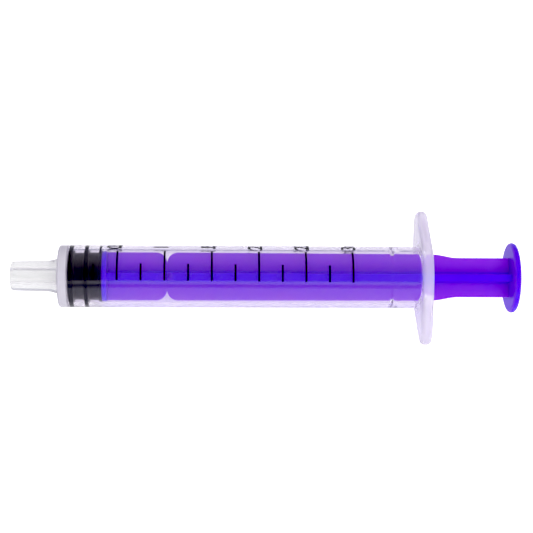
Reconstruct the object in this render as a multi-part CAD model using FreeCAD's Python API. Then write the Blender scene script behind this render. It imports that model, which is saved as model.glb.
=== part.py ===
import FreeCAD, Part
import math
import os

# A 3 mL oral syringe, lying on one long side of its finger flange with the plunger pushed
# right in. The axis of the syringe is the X axis. The mouth of the nozzle is at the origin
# and the thumb rest is at the +X end. All sizes are in millimetres.
#
# Angles round the barrel are given in degrees from -Y, rising towards +Z.

V = FreeCAD.Vector
X_AXIS = V(1, 0, 0)
CENTRE = V(0, 0, 0)

# Capacity and bore
bore_diameter = 8.95
wall_thickness = 0.83
capacity_ml = 3.0

# Nozzle
lumen_diameter = 2.0
nozzle_tip_diameter = 5.02
nozzle_root_diameter = 5.36
nozzle_tip_round = 0.6
nozzle_length = 8.2
collar_diameter = 5.92
collar_length = 1.5
collar_cone_length = 1.0

# Barrel, behind the nozzle. Its length follows from the capacity
front_wall_thickness = 1.55
shoulder_round = 0.45
bore_corner_round = 0.2
last_mark_to_flange = 11.635
mouth_chamfer = 0.3

# Finger flange, a rounded lozenge
flange_thickness = 1.85
flange_middle_radius = 7.4
flange_end_radius = 3.1
flange_end_offset = 8.8
flange_edge_round = 0.75
flange_root_fillet = 0.45

# Ring inside the bore that keeps the plunger from coming out
stop_ring_height = 0.25
stop_ring_half_width = 0.8
stop_ring_to_mouth = 6.2

# Seal
seal_length = 5.8
seal_gap = 0.05
seal_radial_clearance = 0.025
seal_front_round = 0.15
ring_edge_round = 0.2
front_ring_start = 0.15
front_ring_width = 0.96
second_ring_start = 2.78
second_ring_width = 0.86
rear_rim_width = 0.5
rear_rim_relief = 0.03
front_valley_depth = 0.45
rear_valley_depth = 0.4

# Knob of the plunger rod and the socket in the seal that is snapped over it
knob_clearance = 0.05
knob_neck_diameter = 3.3
knob_neck_length = 1.4
knob_diameter = 5.1
knob_length = 2.0
knob_nose_length = 0.7
knob_nose_diameter = 2.6

# Plunger rod, with its radial clearances in the bore
head_disc_clearance = 0.195
head_disc_thickness = 0.84
head_disc_round = 0.15
rib_thickness = 1.2
rib_root_fillet = 0.45
rib_clearance_front = 0.405
rib_clearance_rear = 0.515
notch_from_head = 10.13
notch_round = 1.9
grip_step_start = 0.7
grip_step_length = 4.3
grip_step_depth = 0.57
grip_length = 13.9
thumb_disc_diameter = 12.04
thumb_disc_thickness = 1.1
thumb_disc_round = 0.52
thumb_disc_fillet = 0.3

# The ribs stand at this angle, and at right angles to it
rib_angle = 43.0

# Printed scale
ink_thickness = 0.03
mark_width = 0.34
mark_step_ml = 0.25
marks_per_number = 2
zero_behind_seal_face = 0.53
mark_start_angle = 35.5
short_mark_angle = 31.2
long_mark_angle = 61.5
print_skew_per_ml = -1.2
skew_centre_ml = 1.5

# Numerals
numeral_height = 2.5
numeral_width = 1.62
numeral_stroke = 0.3
numeral_gap = 0.36
numeral_gap_from_mark = 0.55
numeral_base_behind_mark = 0.58
dot_diameter = 0.42
unit_gap = 0.75

# How far a cutting shape reaches past what it cuts, and the most of a disc's
# thickness that one rounded rim may take
margin = 1.0
most_rounding = 0.48

# Radii and stations that follow from the sizes above
bore_radius = bore_diameter / 2
barrel_radius = bore_radius + wall_thickness
ml_length = 1000 / (math.pi * bore_radius**2)
shoulder_x = nozzle_length
front_wall_x = shoulder_x + front_wall_thickness
seal_front_x = front_wall_x + seal_gap
seal_rear_x = seal_front_x + seal_length
zero_x = seal_front_x + zero_behind_seal_face
flange_front_x = zero_x + capacity_ml * ml_length + last_mark_to_flange
mouth_x = flange_front_x + flange_thickness
stop_ring_x = mouth_x - stop_ring_to_mouth
head_rear_x = seal_rear_x + head_disc_thickness
head_disc_radius = bore_radius - head_disc_clearance
rib_reach_front = bore_radius - rib_clearance_front
rib_reach_rear = bore_radius - rib_clearance_rear
grip_reach = rib_reach_rear - grip_step_depth
notch_x = head_rear_x + notch_from_head
thumb_front_x = mouth_x + grip_length
thumb_rear_x = thumb_front_x + thumb_disc_thickness

# One long side of the lozenge lies level, so its long axis leans by this angle
flange_lean = math.degrees(math.asin((flange_middle_radius - flange_end_radius) / flange_end_offset))


def polar(cx, cr, radius, degrees):
    """Point of the XZ half plane on a circle about (cx, cr)."""
    a = math.radians(degrees)
    return V(cx + radius * math.cos(a), 0, cr + radius * math.sin(a))


def line(x0, r0, x1, r1):
    return Part.LineSegment(V(x0, 0, r0), V(x1, 0, r1)).toShape()


def arc(cx, cr, radius, start, end):
    """Arc from start to end degrees, the shorter way round."""
    middle = (start + end) / 2
    points = [polar(cx, cr, radius, a) for a in (start, middle, end)]
    return Part.Arc(*points).toShape()


def revolve(edges):
    """Solid of revolution about X of a closed profile in the XZ half plane."""
    return Part.Face(Part.Wire(edges)).revolve(CENTRE, X_AXIS, 360)


def rod_between(x0, x1, radius):
    return Part.makeCylinder(radius, x1 - x0, V(x0, 0, 0), X_AXIS)


def place_at_angle(shape, degrees):
    """Turns a shape made about the +Z direction to an angle round the barrel."""
    turned = shape.copy()
    turned.rotate(CENTRE, X_AXIS, 90 - degrees)
    return turned


def export(shape, node):
    """Writes one node, and says what it holds."""
    shape.exportStep("parts/" + node + ".step")
    solids = shape.Solids
    print(node, "solids", len(solids), "valid", shape.isValid(), "volume", round(shape.Volume, 4))


# ---------------------------------------------------------------- barrel


def nozzle_and_tube():
    """Outside of the barrel without its flange: nozzle, collar, shoulder and tube."""
    tip = nozzle_tip_diameter / 2
    collar_start = nozzle_length - collar_length
    cone_end = collar_start + collar_cone_length
    collar = collar_diameter / 2
    shoulder_r = barrel_radius - shoulder_round
    shoulder_end = shoulder_x + shoulder_round
    fillet_start = flange_front_x - flange_root_fillet
    fillet_r = barrel_radius + flange_root_fillet
    edges = [
        line(0, 0, 0, tip - nozzle_tip_round),
        arc(nozzle_tip_round, tip - nozzle_tip_round, nozzle_tip_round, 180, 90),
        line(nozzle_tip_round, tip, collar_start, nozzle_root_diameter / 2),
        line(collar_start, nozzle_root_diameter / 2, cone_end, collar),
        line(cone_end, collar, shoulder_x, collar),
        line(shoulder_x, collar, shoulder_x, shoulder_r),
        arc(shoulder_end, shoulder_r, shoulder_round, 180, 90),
        line(shoulder_end, barrel_radius, fillet_start, barrel_radius),
        arc(fillet_start, fillet_r, flange_root_fillet, -90, 0),
        line(flange_front_x, fillet_r, mouth_x - flange_thickness / 2, fillet_r),
        line(mouth_x - flange_thickness / 2, fillet_r, mouth_x - flange_thickness / 2, 0),
        line(mouth_x - flange_thickness / 2, 0, 0, 0),
    ]
    return revolve(edges)


def flange_plate():
    """Finger flange: a round middle blended by straight sides into two small round ends."""
    tangent = 90 - flange_lean

    def on_circle(offset, radius, degrees):
        a = math.radians(degrees)
        return V(flange_front_x, offset + radius * math.cos(a), radius * math.sin(a))

    def round_part(offset, radius, start, end):
        points = [on_circle(offset, radius, a) for a in (start, (start + end) / 2, end)]
        return Part.Arc(*points).toShape()

    end, middle = flange_end_radius, flange_middle_radius
    far = flange_end_offset
    edges = []
    for side in (0, 180):
        place = far if side == 0 else -far
        edges.append(round_part(place, end, side - tangent, side + tangent))
        start = on_circle(place, end, side + tangent)
        turn = on_circle(0, middle, side + tangent)
        edges.append(Part.LineSegment(start, turn).toShape())
        edges.append(round_part(0, middle, side + tangent, side + 180 - tangent))
        turn_end = on_circle(0, middle, side + 180 - tangent)
        finish = on_circle(-place, end, side + 180 - tangent)
        edges.append(Part.LineSegment(turn_end, finish).toShape())
    plate = Part.Face(Part.Wire(edges)).extrude(V(flange_thickness, 0, 0))
    rims = [e for e in plate.Edges if abs(e.BoundBox.XLength) < 1e-6]
    plate = plate.makeFillet(flange_edge_round, rims)
    plate.rotate(CENTRE, X_AXIS, flange_lean)
    return plate


def bore_space():
    """Everything that is hollow in the barrel: lumen, bore, stop ring and chamfered mouth."""
    lumen = lumen_diameter / 2
    corner = bore_corner_round
    ring_start = stop_ring_x - stop_ring_half_width
    ring_end = stop_ring_x + stop_ring_half_width
    ring = Part.Arc(
        V(ring_start, 0, bore_radius),
        V(stop_ring_x, 0, bore_radius - stop_ring_height),
        V(ring_end, 0, bore_radius),
    ).toShape()
    before, past = -margin, mouth_x + margin
    flare = bore_radius + mouth_chamfer + margin
    edges = [
        line(before, 0, before, lumen),
        line(before, lumen, front_wall_x, lumen),
        line(front_wall_x, lumen, front_wall_x, bore_radius - corner),
        arc(front_wall_x + corner, bore_radius - corner, corner, 180, 90),
        line(front_wall_x + corner, bore_radius, ring_start, bore_radius),
        ring,
        line(ring_end, bore_radius, mouth_x - mouth_chamfer, bore_radius),
        line(mouth_x - mouth_chamfer, bore_radius, past, flare),
        line(past, flare, past, 0),
        line(past, 0, before, 0),
    ]
    return revolve(edges)


def barrel():
    return nozzle_and_tube().fuse(flange_plate()).cut(bore_space()).removeSplitter()


# ---------------------------------------------------------------- seal


def raised_ring(start, width, outer, inner, front_round, rear_round):
    """Edges of one ring of the seal's outline, from its front foot to its rear foot."""
    end = start + width
    return [
        line(start, inner, start, outer - front_round),
        arc(start + front_round, outer - front_round, front_round, 180, 90),
        line(start + front_round, outer, end - rear_round, outer),
        arc(end - rear_round, outer - rear_round, rear_round, 90, 0),
        line(end, outer - rear_round, end, inner),
    ]


def socket_profile(grow):
    """Outline of the knob, or of the socket round it when grown by the clearance."""
    neck = knob_neck_diameter / 2 + grow
    knob = knob_diameter / 2 + grow
    nose = knob_nose_diameter / 2 + grow
    shelf_x = seal_rear_x - knob_neck_length + grow
    cone_x = shelf_x - knob_length - 2 * grow
    tip_x = cone_x - knob_nose_length
    open_x = seal_rear_x + (margin if grow else head_disc_thickness / 2)
    return [
        line(tip_x, 0, tip_x, nose),
        line(tip_x, nose, cone_x, knob),
        line(cone_x, knob, shelf_x, knob),
        line(shelf_x, knob, shelf_x, neck),
        line(shelf_x, neck, open_x, neck),
        line(open_x, neck, open_x, 0),
        line(open_x, 0, tip_x, 0),
    ]


def plunger_seal():
    """Rubber seal: two wiping rings, a thin rear rim and a socket for the rod's knob."""
    wiping = bore_radius - seal_radial_clearance
    front_valley = wiping - front_valley_depth
    rear_valley = wiping - rear_valley_depth
    ring_1 = seal_front_x + front_ring_start
    ring_2 = seal_front_x + second_ring_start
    rim = seal_rear_x - rear_rim_width
    edge = ring_edge_round
    face_r = front_valley - seal_front_round
    edges = [
        line(seal_front_x, 0, seal_front_x, face_r),
        line(seal_front_x, face_r, ring_1, front_valley),
    ]
    edges += raised_ring(ring_1, front_ring_width, wiping, front_valley, edge, edge)
    edges.append(line(ring_1 + front_ring_width, front_valley, ring_2, front_valley))
    edges += raised_ring(ring_2, second_ring_width, wiping, front_valley, edge, edge)[:-1]
    ring_2_end = ring_2 + second_ring_width
    edges.append(line(ring_2_end, wiping - edge, ring_2_end, rear_valley))
    edges.append(line(ring_2_end, rear_valley, rim, rear_valley))
    rim_r = wiping - rear_rim_relief
    edges += raised_ring(rim, rear_rim_width, rim_r, rear_valley, edge, edge)
    edges.append(line(seal_rear_x, rear_valley, seal_rear_x, 0))
    edges.append(line(seal_rear_x, 0, seal_front_x, 0))
    return revolve(edges).cut(revolve(socket_profile(knob_clearance)))


# ---------------------------------------------------------------- plunger rod


def rib_outline():
    """Upper edge of one rib plate, from the head disc to the thumb disc."""
    front, rear, grip = rib_reach_front, rib_reach_rear, grip_reach
    neck_r = front - notch_round
    start = head_rear_x - head_disc_thickness / 2
    step_x = mouth_x + grip_step_start
    step_end = step_x + grip_step_length
    step_middle = (step_x + step_end) / 2
    end = thumb_front_x + thumb_disc_thickness / 2
    step = Part.BezierCurve()
    step.setPoles(
        [V(step_x, 0, rear), V(step_middle, 0, rear), V(step_middle, 0, grip), V(step_end, 0, grip)]
    )
    return [
        line(start, front, notch_x - notch_round, front),
        arc(notch_x - notch_round, neck_r, notch_round, 90, 0),
        arc(notch_x + notch_round, neck_r, notch_round, 180, 90),
        line(notch_x + notch_round, front, step_x, rear),
        step.toShape(),
        line(step_end, grip, end, grip),
    ]


def rib_plate():
    """One flat plate with both of its ribs, in the XZ plane."""
    upper = rib_outline()
    lower = [e.mirror(CENTRE, V(0, 0, 1)) for e in upper]
    start = head_rear_x - head_disc_thickness / 2
    end = thumb_front_x + thumb_disc_thickness / 2
    half, grip = rib_reach_front, grip_reach
    ends = [line(start, -half, start, half), line(end, grip, end, -grip)]
    wire = Part.Wire(Part.__sortEdges__(upper + lower + ends))
    plate = Part.Face(wire).extrude(V(0, rib_thickness, 0))
    plate.translate(V(0, -rib_thickness / 2, 0))
    return plate


def rib_core():
    """Concave fillets that fill the four corners where the rib plates cross."""
    half = rib_thickness / 2
    out = half + rib_root_fillet
    edges = []
    for quarter in range(4):
        turn = FreeCAD.Rotation(X_AXIS, 90 * quarter)
        a = turn.multVec(V(0, out, half))
        b = turn.multVec(V(0, half, out))
        dent = out - rib_root_fillet / math.sqrt(2)
        middle = turn.multVec(V(0, dent, dent))
        edges.append(Part.Arc(a, middle, b).toShape())
        following = turn.multVec(V(0, -half, out))
        edges.append(Part.LineSegment(b, following).toShape())
    face = Part.Face(Part.Wire(edges))
    face.translate(V(head_rear_x - head_disc_thickness / 2, 0, 0))
    return face.extrude(V(thumb_front_x - head_rear_x + head_disc_thickness, 0, 0))


def rounded_disc(x0, x1, radius, rounding):
    """Disc with both rims rounded, as far as its thickness leaves room."""
    rounding = min(rounding, (x1 - x0) * most_rounding)
    edges = [
        line(x0, 0, x0, radius - rounding),
        arc(x0 + rounding, radius - rounding, rounding, 180, 90),
        line(x0 + rounding, radius, x1 - rounding, radius),
        arc(x1 - rounding, radius - rounding, rounding, 90, 0),
        line(x1, radius - rounding, x1, 0),
        line(x1, 0, x0, 0),
    ]
    return revolve(edges)


def thumb_fillet(plate):
    """Small gussets where a rib plate runs into the thumb disc."""
    size = thumb_disc_fillet
    disc, foot = thumb_front_x, thumb_front_x - size
    base, grip, top = grip_reach - size, grip_reach, grip_reach + size
    gussets = []
    for side in (1, -1):
        edges = [
            arc(foot, top, size, -90, 0),
            line(disc, top, disc, base),
            line(disc, base, foot, base),
            line(foot, base, foot, grip),
        ]
        gusset = Part.Face(Part.Wire(edges)).extrude(V(0, rib_thickness, 0))
        gusset.translate(V(0, -rib_thickness / 2, 0))
        if side < 0:
            gusset = gusset.mirror(CENTRE, V(0, 0, 1))
        gussets.append(gusset)
    return plate.multiFuse(gussets)


def plunger_rod():
    """One moulding: knob, head disc, crossed ribs with a notch, slimmer grip and thumb disc."""
    plate = thumb_fillet(rib_plate())
    crossed = place_at_angle(plate, rib_angle)
    pieces = [
        place_at_angle(plate, rib_angle + 90),
        place_at_angle(rib_core(), rib_angle),
        rounded_disc(seal_rear_x, head_rear_x, head_disc_radius, head_disc_round),
        rounded_disc(thumb_front_x, thumb_rear_x, thumb_disc_diameter / 2, thumb_disc_round),
        revolve(socket_profile(0)),
    ]
    return crossed.multiFuse(pieces).removeSplitter()


# ---------------------------------------------------------------- printed scale


def mark_x(volume):
    return zero_x + volume * ml_length


def skew(volume):
    return print_skew_per_ml * (volume - skew_centre_ml)


def printed_mark(volume, span):
    """One line of the scale, as a band of ink lying on the barrel."""
    x0 = mark_x(volume) - mark_width / 2
    inner, outer = barrel_radius, barrel_radius + ink_thickness
    edges = [
        line(x0, inner, x0, outer),
        line(x0, outer, x0 + mark_width, outer),
        line(x0 + mark_width, outer, x0 + mark_width, inner),
        line(x0 + mark_width, inner, x0, inner),
    ]
    face = place_at_angle(Part.Face(Part.Wire(edges)), mark_start_angle + skew(volume))
    return face.revolve(CENTRE, X_AXIS, -span)


def graduation_lines():
    """Zero line and a line each quarter millilitre, long at each half."""
    count = round(capacity_ml / mark_step_ml)
    marks = []
    for i in range(count + 1):
        span = long_mark_angle if i % marks_per_number == 0 else short_mark_angle
        marks.append(printed_mark(i * mark_step_ml, span))
    return Part.makeCompound(marks)


# The numerals are drawn with a round pen of one width. In these outlines u is the reading
# direction and v is up, and each stroke is a straight run or an arc of the pen's centre.


def pen_run(u0, v0, u1, v1):
    """Flat capsule: a straight pen stroke."""
    pen = numeral_stroke / 2
    along = V(u1 - u0, v1 - v0, 0)
    along.normalize()
    across = V(-along.y, along.x, 0) * pen
    a, b = V(u0, v0, 0), V(u1, v1, 0)
    edges = [
        Part.LineSegment(a + across, b + across).toShape(),
        Part.Arc(b + across, b + along * pen, b - across).toShape(),
        Part.LineSegment(b - across, a - across).toShape(),
        Part.Arc(a - across, a - along * pen, a + across).toShape(),
    ]
    return Part.Face(Part.Wire(edges))


def pen_arc(cu, cv, radius, start, end):
    """Curved pen stroke from start to end degrees, anticlockwise, with round ends."""
    pen = numeral_stroke / 2

    def at(r, degrees):
        a = math.radians(degrees)
        return V(cu + r * math.cos(a), cv + r * math.sin(a), 0)

    def cap(degrees, towards):
        a = math.radians(degrees + 90 * towards)
        return at(radius, degrees) + V(math.cos(a), math.sin(a), 0) * pen

    middle = (start + end) / 2
    outer, inner = radius + pen, radius - pen
    edges = [
        Part.Arc(at(outer, start), at(outer, middle), at(outer, end)).toShape(),
        Part.Arc(at(outer, end), cap(end, 1), at(inner, end)).toShape(),
        Part.Arc(at(inner, end), at(inner, middle), at(inner, start)).toShape(),
        Part.Arc(at(inner, start), cap(start, -1), at(outer, start)).toShape(),
    ]
    return Part.Face(Part.Wire(edges))


def glyph_strokes(character):
    """Pen strokes of one character and the width that it takes."""
    h = numeral_height - numeral_stroke
    w = numeral_width - numeral_stroke
    bowl = w / 2
    if character == "0":
        strokes = [
            pen_arc(bowl, h - bowl, bowl, 0, 180),
            pen_arc(bowl, bowl, bowl, 180, 360),
            pen_run(0, bowl, 0, h - bowl),
            pen_run(w, bowl, w, h - bowl),
        ]
    elif character == "1":
        stem, flag_u, flag_v = w * 0.66, w * 0.12, h * 0.74
        strokes = [pen_run(stem, 0, stem, h), pen_run(stem, h, flag_u, flag_v)]
    elif character == "2":
        # The diagonal leaves the bowl this far below its middle, and runs to the foot
        leaves, hook = 40, 175
        diagonal = polar(bowl, h - bowl, bowl, -leaves)
        strokes = [
            pen_arc(bowl, h - bowl, bowl, -leaves, hook),
            pen_run(diagonal.x, diagonal.z, 0, 0),
            pen_run(0, 0, w, 0),
        ]
    elif character == "3":
        hook = 165
        top, base = h * 0.24, h * 0.26
        strokes = [
            pen_arc(bowl, h - top, top, -90, hook),
            pen_arc(bowl, base, base, -hook, 90),
        ]
    elif character == "5":
        base, tail, joins = h * 0.31, 160, 136
        waist = polar(bowl, base, base, joins)
        top_u, top_end = waist.x + w * 0.08, w * 0.95
        strokes = [
            pen_run(top_u, h, top_end, h),
            pen_run(top_u, h, waist.x, waist.z),
            pen_arc(bowl, base, base, -tail, joins),
        ]
    elif character == "m":
        x_height, arch = h * 0.68, w * 0.31
        strokes = [pen_run(0, 0, 0, x_height)]
        for foot in (arch, 3 * arch):
            strokes.append(pen_arc(foot, x_height - arch, arch, 0, 180))
            strokes.append(pen_run(foot + arch, 0, foot + arch, x_height - arch))
        w = 4 * arch
    elif character == "L":
        w = w * 0.8
        strokes = [pen_run(0, 0, 0, h), pen_run(0, 0, w, 0)]
    return strokes, w + numeral_stroke


def printed_glyph(strokes, width, x_base, angle):
    """Wraps a flat character onto the barrel, its left side at the angle and its foot at x_base."""
    low = barrel_radius - margin
    prisms = [stroke.extrude(V(0, 0, 2 * margin)) for stroke in strokes]
    prism = prisms[0].multiFuse(prisms[1:]) if len(prisms) > 1 else prisms[0]
    pen = numeral_stroke / 2
    prism.translate(V(pen - width / 2, pen, 0))
    # u goes to +Y and v to -X, on the plane z = low, and the whole is then turned to its angle
    prism.rotate(CENTRE, V(0, 0, 1), 90)
    prism.translate(V(x_base, 0, low))
    reach = math.degrees(width / 2 / barrel_radius)
    prism = place_at_angle(prism, angle + reach)
    x0, x1 = x_base - numeral_height - margin, x_base + margin
    shell = rod_between(x0, x1, barrel_radius + ink_thickness)
    shell = shell.cut(rod_between(x0 - margin, x1 + margin, barrel_radius))
    return prism.common(shell).removeSplitter()


def printed_number(text, volume):
    """Characters of one number, following each other round the barrel."""
    angle = mark_start_angle + skew(volume) + long_mark_angle
    place = math.radians(angle) * barrel_radius + numeral_gap_from_mark
    x_base = mark_x(volume) + numeral_base_behind_mark
    solids = []
    for character in text:
        at = math.degrees(place / barrel_radius)
        if character == " ":
            place += unit_gap
            continue
        if character == ".":
            dot = dot_diameter / 2
            disc = Part.Face(Part.Wire(Part.makeCircle(dot, V(dot - numeral_stroke / 2, dot, 0))))
            strokes, width = [disc], dot_diameter
        else:
            strokes, width = glyph_strokes(character)
        glyph = printed_glyph(strokes, width, x_base, at)
        solids += glyph.Solids
        place += width + numeral_gap
    return solids


def graduation_numerals():
    """A number at each long line but the zero line, and the unit after the last."""
    step = mark_step_ml * marks_per_number
    count = round(capacity_ml / step)
    solids = []
    for i in range(1, count + 1):
        volume = i * step
        text = f"{volume:g}" + (" mL" if i == count else "")
        solids += printed_number(text, volume)
    return Part.makeCompound(solids)


os.makedirs("parts", exist_ok=True)
export(barrel(), "barrel")
export(plunger_seal(), "plunger_seal")
export(plunger_rod(), "plunger_rod")
export(graduation_lines(), "graduation_lines")
export(graduation_numerals(), "graduation_numerals")

print("zero line", round(zero_x, 3), "mL length", round(ml_length, 3))
print("flange front", round(flange_front_x, 3), "overall length", round(thumb_rear_x, 3))
print("head disc to stop ring centre", round(stop_ring_x - head_rear_x, 3))
print("flange lean", round(flange_lean, 3))
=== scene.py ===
import logging
import math
from collections.abc import Callable, Sequence
from dataclasses import dataclass, field
from enum import Enum
from typing import Any

import bmesh
import bpy
from mathutils import Matrix, Vector


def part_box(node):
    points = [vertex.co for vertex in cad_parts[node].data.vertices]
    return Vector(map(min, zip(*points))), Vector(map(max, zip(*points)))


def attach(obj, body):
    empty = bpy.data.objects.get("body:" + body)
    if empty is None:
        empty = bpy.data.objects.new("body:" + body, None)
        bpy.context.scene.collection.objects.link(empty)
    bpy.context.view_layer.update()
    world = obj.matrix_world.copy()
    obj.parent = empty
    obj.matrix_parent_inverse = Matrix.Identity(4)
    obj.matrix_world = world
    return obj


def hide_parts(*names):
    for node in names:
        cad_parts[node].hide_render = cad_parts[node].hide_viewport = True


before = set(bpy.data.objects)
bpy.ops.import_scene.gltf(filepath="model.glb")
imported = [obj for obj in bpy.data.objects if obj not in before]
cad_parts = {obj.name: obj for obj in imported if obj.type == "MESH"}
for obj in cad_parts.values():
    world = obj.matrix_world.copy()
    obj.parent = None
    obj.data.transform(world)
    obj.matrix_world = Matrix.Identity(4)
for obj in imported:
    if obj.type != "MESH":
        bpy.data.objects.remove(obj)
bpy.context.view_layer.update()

LOG = logging.getLogger("oral_syringe")
MM = 0.001
WELD = 1e-7  # metres within which two points are one

# The ribs of the plunger stand at this angle from -Y, rising towards +Z, and so does the camera.
FACING = math.radians(43.0)

Point = tuple[float, float]


class Body(Enum):
    """Bodies of the frame that the pieces ride on."""

    BARREL = "barrel"
    SEAL = "seal"
    PLUNGER = "plunger"


class Slot(Enum):
    """Material slots of the record."""

    CLEAR = "clear_polypropylene"
    VIOLET = "violet_polypropylene"
    RUBBER = "black_rubber"
    INK = "black_ink"


# ---------------------------------------------------------------- outlines


@dataclass(frozen=True)
class Corner:
    """Corner of an outline in millimetres: its station, its radius and how far it is rounded."""

    x: float
    r: float
    round: float = 0.0


def arc_points(centre: Point, radius: float, start: float, end: float, count: int) -> list[Point]:
    """Points of an arc, both ends included.

    Args:
        centre: Middle of the arc, in millimetres.
        radius: Its radius, in millimetres.
        start: Start angle in degrees.
        end: End angle in degrees.
        count: Number of steps.

    Returns:
        The points in order.
    """
    angles = [math.radians(start + (end - start) * i / count) for i in range(count + 1)]
    return [(centre[0] + radius * math.cos(a), centre[1] + radius * math.sin(a)) for a in angles]


def rounded(corners: Sequence[Corner], step: float = 12.0) -> list[Point]:
    """Outline through the corners, with each round drawn as an arc.

    Args:
        corners: Corners in order. The first and last are never rounded.
        step: Largest turn between two points of an arc, in degrees.

    Returns:
        The points of the outline, in millimetres.
    """
    points: list[Point] = [(corners[0].x, corners[0].r)]
    for before, corner, after in zip(corners, corners[1:], corners[2:]):
        here = Vector((corner.x, corner.r))
        back = (Vector((before.x, before.r)) - here).normalized()
        ahead = (Vector((after.x, after.r)) - here).normalized()
        turn = math.pi - back.angle(ahead)
        if corner.round <= 0 or turn < 1e-4:
            points.append((corner.x, corner.r))
            continue
        reach = corner.round * math.tan(turn / 2)
        middle = here + (back + ahead).normalized() * (corner.round / math.cos(turn / 2))
        first = here + back * reach - middle
        last = here + ahead * reach - middle
        count = max(2, math.ceil(math.degrees(turn) / step))
        sweep = first.angle_signed(last)
        for i in range(count + 1):
            a = -sweep * i / count
            spoke = Matrix.Rotation(a, 2) @ first
            points.append(tuple(middle + spoke))
    points.append((corners[-1].x, corners[-1].r))
    return points


def near_end(node: str) -> float:
    """Lowest station of a CAD node, in millimetres."""
    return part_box(node)[0].x / MM


def far_end(node: str) -> float:
    """Highest station of a CAD node, in millimetres."""
    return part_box(node)[1].x / MM


# ---------------------------------------------------------------- modelling


def clear_selection() -> None:
    """Leaves edit mode and deselects everything."""
    if bpy.context.mode != "OBJECT":
        bpy.ops.object.mode_set(mode="OBJECT")
    bpy.ops.object.select_all(action="DESELECT")


def only(piece: bpy.types.Object) -> None:
    """Makes one piece the only selected and active object."""
    clear_selection()
    piece.select_set(True)
    bpy.context.view_layer.objects.active = piece


def pick(mode: str, test: Callable[[Any], bool]) -> int:
    """Selects elements of the mesh that is being edited.

    Args:
        mode: VERT, EDGE or FACE.
        test: Says of each element whether it is selected.

    Returns:
        How many were selected.
    """
    bpy.ops.mesh.select_mode(type=mode)
    bpy.ops.mesh.select_all(action="DESELECT")
    mesh = bmesh.from_edit_mesh(bpy.context.object.data)
    kind = {"VERT": mesh.verts, "EDGE": mesh.edges, "FACE": mesh.faces}[mode]
    found = [element for element in kind if test(element)]
    for element in found:
        element.select_set(True)
    mesh.select_flush_mode()
    bmesh.update_edit_mesh(bpy.context.object.data)
    return len(found)


def first_vertex(name: str, place: Vector) -> bpy.types.Object:
    """Starts a piece from a small square that is merged to one vertex at a place.

    Args:
        name: Name of the new piece.
        place: Where the vertex goes, in metres.

    Returns:
        The new object, in edit mode.
    """
    clear_selection()
    bpy.ops.mesh.primitive_plane_add(size=MM, location=(0, 0, 0))
    piece = bpy.context.object
    piece.name = piece.data.name = name
    bpy.ops.object.mode_set(mode="EDIT")
    bpy.ops.mesh.select_mode(type="VERT")
    bpy.ops.mesh.select_all(action="SELECT")
    bpy.ops.mesh.merge(type="CENTER")
    bpy.ops.transform.translate(value=place)
    return piece


def trace(points: Sequence[Vector]) -> None:
    """Extrudes the selected vertex from the first point through the rest."""
    for here, there in zip(points, points[1:]):
        bpy.ops.mesh.extrude_region_move(TRANSFORM_OT_translate={"value": there - here})


def turned(name: str, outline: Sequence[Point], steps: int) -> bpy.types.Object:
    """Spins an outline about the X axis, as a lathe does.

    Args:
        name: Name of the new piece.
        outline: Stations and radii, in millimetres.
        steps: Number of steps round the axis.

    Returns:
        The new object, in edit mode and all selected.
    """
    points = [Vector((x, 0, r)) * MM for x, r in outline]
    piece = first_vertex(name, points[0])
    trace(points)
    bpy.ops.mesh.select_all(action="SELECT")
    bpy.ops.mesh.spin(steps=steps, angle=math.tau, center=(0, 0, 0), axis=(1, 0, 0))
    bpy.ops.mesh.select_all(action="SELECT")
    bpy.ops.mesh.remove_doubles(threshold=WELD)
    bpy.ops.mesh.normals_make_consistent(inside=False)
    return piece


def joined(name: str, pieces: Sequence[bpy.types.Object]) -> bpy.types.Object:
    """Joins separate meshes in one piece."""
    only(pieces[0])
    for piece in pieces[1:]:
        piece.select_set(True)
    if len(pieces) > 1:
        bpy.ops.object.join()
    pieces[0].name = pieces[0].data.name = name
    return pieces[0]


def apply_modifier(piece: bpy.types.Object, kind: str, settings: dict[str, Any]) -> None:
    """Adds a modifier and applies it.

    Args:
        piece: The piece it works on.
        kind: Type of modifier.
        settings: Its settings by name.
    """
    only(piece)
    bpy.ops.object.modifier_add(type=kind)
    modifier = piece.modifiers[-1]
    for key, value in settings.items():
        setattr(modifier, key, value)
    bpy.ops.object.modifier_apply(modifier=modifier.name)


def united(piece: bpy.types.Object, others: Sequence[bpy.types.Object]) -> None:
    """Fuses other closed pieces into a piece and removes them."""
    for other in others:
        fuse = {"operation": "UNION", "solver": "MANIFOLD", "object": other}
        apply_modifier(piece, "BOOLEAN", fuse)
        bpy.data.objects.remove(other)


def turn_to(piece: bpy.types.Object, angle: float) -> None:
    """Turns a piece made upright to an angle from -Y rising towards +Z, in its mesh."""
    only(piece)
    piece.rotation_euler = (math.pi / 2 - angle, 0, 0)
    bpy.ops.object.transform_apply(location=True, rotation=True, scale=True)


def finish_piece(
    piece: bpy.types.Object,
    material: bpy.types.Material,
    body: Body,
    stands_for: str,
    crease: float = 35.0,
) -> None:
    """Smooths a piece, dresses it, and lets it ride on its body in place of its CAD node.

    Args:
        piece: The finished mesh.
        material: Its material.
        body: Body that it rides on.
        stands_for: CAD node that it replaces.
        crease: Edges sharper than this many degrees stay sharp.
    """
    only(piece)
    bpy.ops.object.transform_apply(location=True, rotation=True, scale=True)
    bpy.ops.object.shade_smooth_by_angle(angle=math.radians(crease))
    apply_modifier(piece, "WEIGHTED_NORMAL", {"keep_sharp": True, "weight": 50})
    piece.data.materials.clear()
    piece.data.materials.append(material)
    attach(piece, body.value)
    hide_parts(stands_for)
    triangles = sum(len(face.vertices) - 2 for face in piece.data.polygons)
    LOG.info("%s: %d triangles, rides on %s", piece.name, triangles, body.value)


# ---------------------------------------------------------------- finishes


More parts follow.
